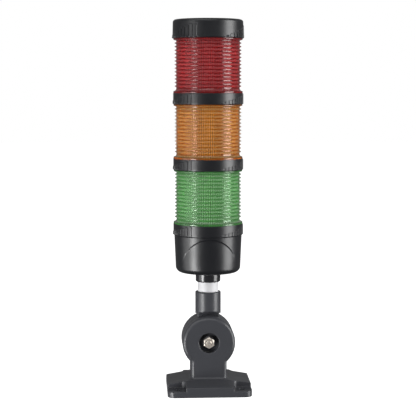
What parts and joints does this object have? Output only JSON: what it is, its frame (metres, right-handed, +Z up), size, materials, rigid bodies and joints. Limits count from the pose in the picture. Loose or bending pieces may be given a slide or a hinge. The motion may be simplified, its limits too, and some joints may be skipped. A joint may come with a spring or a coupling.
{
  "type": "stack light",
  "caption": "Signal tower with red, amber and green ribbed light modules that twist-lock together, on a short pole and a foot that folds sideways.",
  "frame": {"origin": "centre of the foot's underside, on the pole's axis", "axes": "+Z up along the pole, +X to the right seen from the front, front towards -Y"},
  "size_m": [0.0844, 0.084, 0.3755],
  "materials": {
    "bracket_nylon": "spark-textured glass-filled nylon",
    "stainless": "bright stainless steel",
    "black_washer": "black oxide steel",
    "fibre": "plain friction liner",
    "pole_aluminium": "satin anodised",
    "black_steel": "black oxide",
    "neck_plastic": "glossy moulded",
    "zinc_steel": "zinc plated",
    "black_plastic": "satin moulded",
    "terminal_plastic": "moulded",
    "deck_plastic": "moulded",
    "seal_rubber": "moulded rubber",
    "contact_brass": "plated",
    "diffuser": "frosted clear",
    "board": "white solder mask",
    "led_chip": "clear encapsulant",
    "green_lens": "clear green moulded polycarbonate",
    "amber_lens": "clear amber moulded polycarbonate",
    "red_lens": "clear red moulded polycarbonate"
  },
  "bodies": {
    "bracket": {"base_bracket": "bracket_nylon", "pivot_bolt": "stainless", "pivot_nut": "stainless", "pivot_washers": "black_washer"},
    "mast": {"swivel_arm": "bracket_nylon", "friction_washers": "fibre", "pole": "pole_aluminium", "set_screws": "black_steel", "pole_socket": "neck_plastic", "socket_screws": "zinc_steel", "base_housing": "black_plastic", "terminal_block": "terminal_plastic", "terminal_screws": "zinc_steel", "housing_deck": "deck_plastic"},
    "cap": {"cap": "black_plastic", "cap_seal": "seal_rubber"},
    "green_module": {"green_lens": "green_lens", "green_lock_ring": "black_plastic", "green_seal": "seal_rubber", "green_contacts": "contact_brass", "green_diffuser": "diffuser", "green_led_post": "deck_plastic", "green_led_boards": "board", "green_leds": "led_chip", "green_deck": "deck_plastic"},
    "amber_module": {"amber_lens": "amber_lens", "amber_lock_ring": "black_plastic", "amber_seal": "seal_rubber", "amber_contacts": "contact_brass", "amber_diffuser": "diffuser", "amber_led_post": "deck_plastic", "amber_led_boards": "board", "amber_leds": "led_chip", "amber_deck": "deck_plastic"},
    "red_module": {"red_lens": "red_lens", "red_lock_ring": "black_plastic", "red_seal": "seal_rubber", "red_contacts": "contact_brass", "red_diffuser": "diffuser", "red_led_post": "deck_plastic", "red_led_boards": "board", "red_leds": "led_chip", "red_deck": "deck_plastic"}
  },
  "joints": [
    {"name": "fold", "type": "hinge", "parent": "bracket", "child": "mast", "pos_m": [0, 0, 0.0507], "axis": [0, 1, 0], "range_deg": [-90, 90]},
    {"name": "green_twist", "type": "hinge", "parent": "mast", "child": "green_module", "pos_m": [0, 0, 0.1591], "axis": [0, 0, 1], "range_deg": [0, 20]},
    {"name": "amber_twist", "type": "hinge", "parent": "green_module", "child": "amber_module", "pos_m": [0, 0, 0.2249], "axis": [0, 0, 1], "range_deg": [0, 20]},
    {"name": "red_twist", "type": "hinge", "parent": "amber_module", "child": "red_module", "pos_m": [0, 0, 0.2907], "axis": [0, 0, 1], "range_deg": [0, 20]},
    {"name": "cap_twist", "type": "hinge", "parent": "red_module", "child": "cap", "pos_m": [0, 0, 0.3565], "axis": [0, 0, 1], "range_deg": [0, 20]}
  ]
}
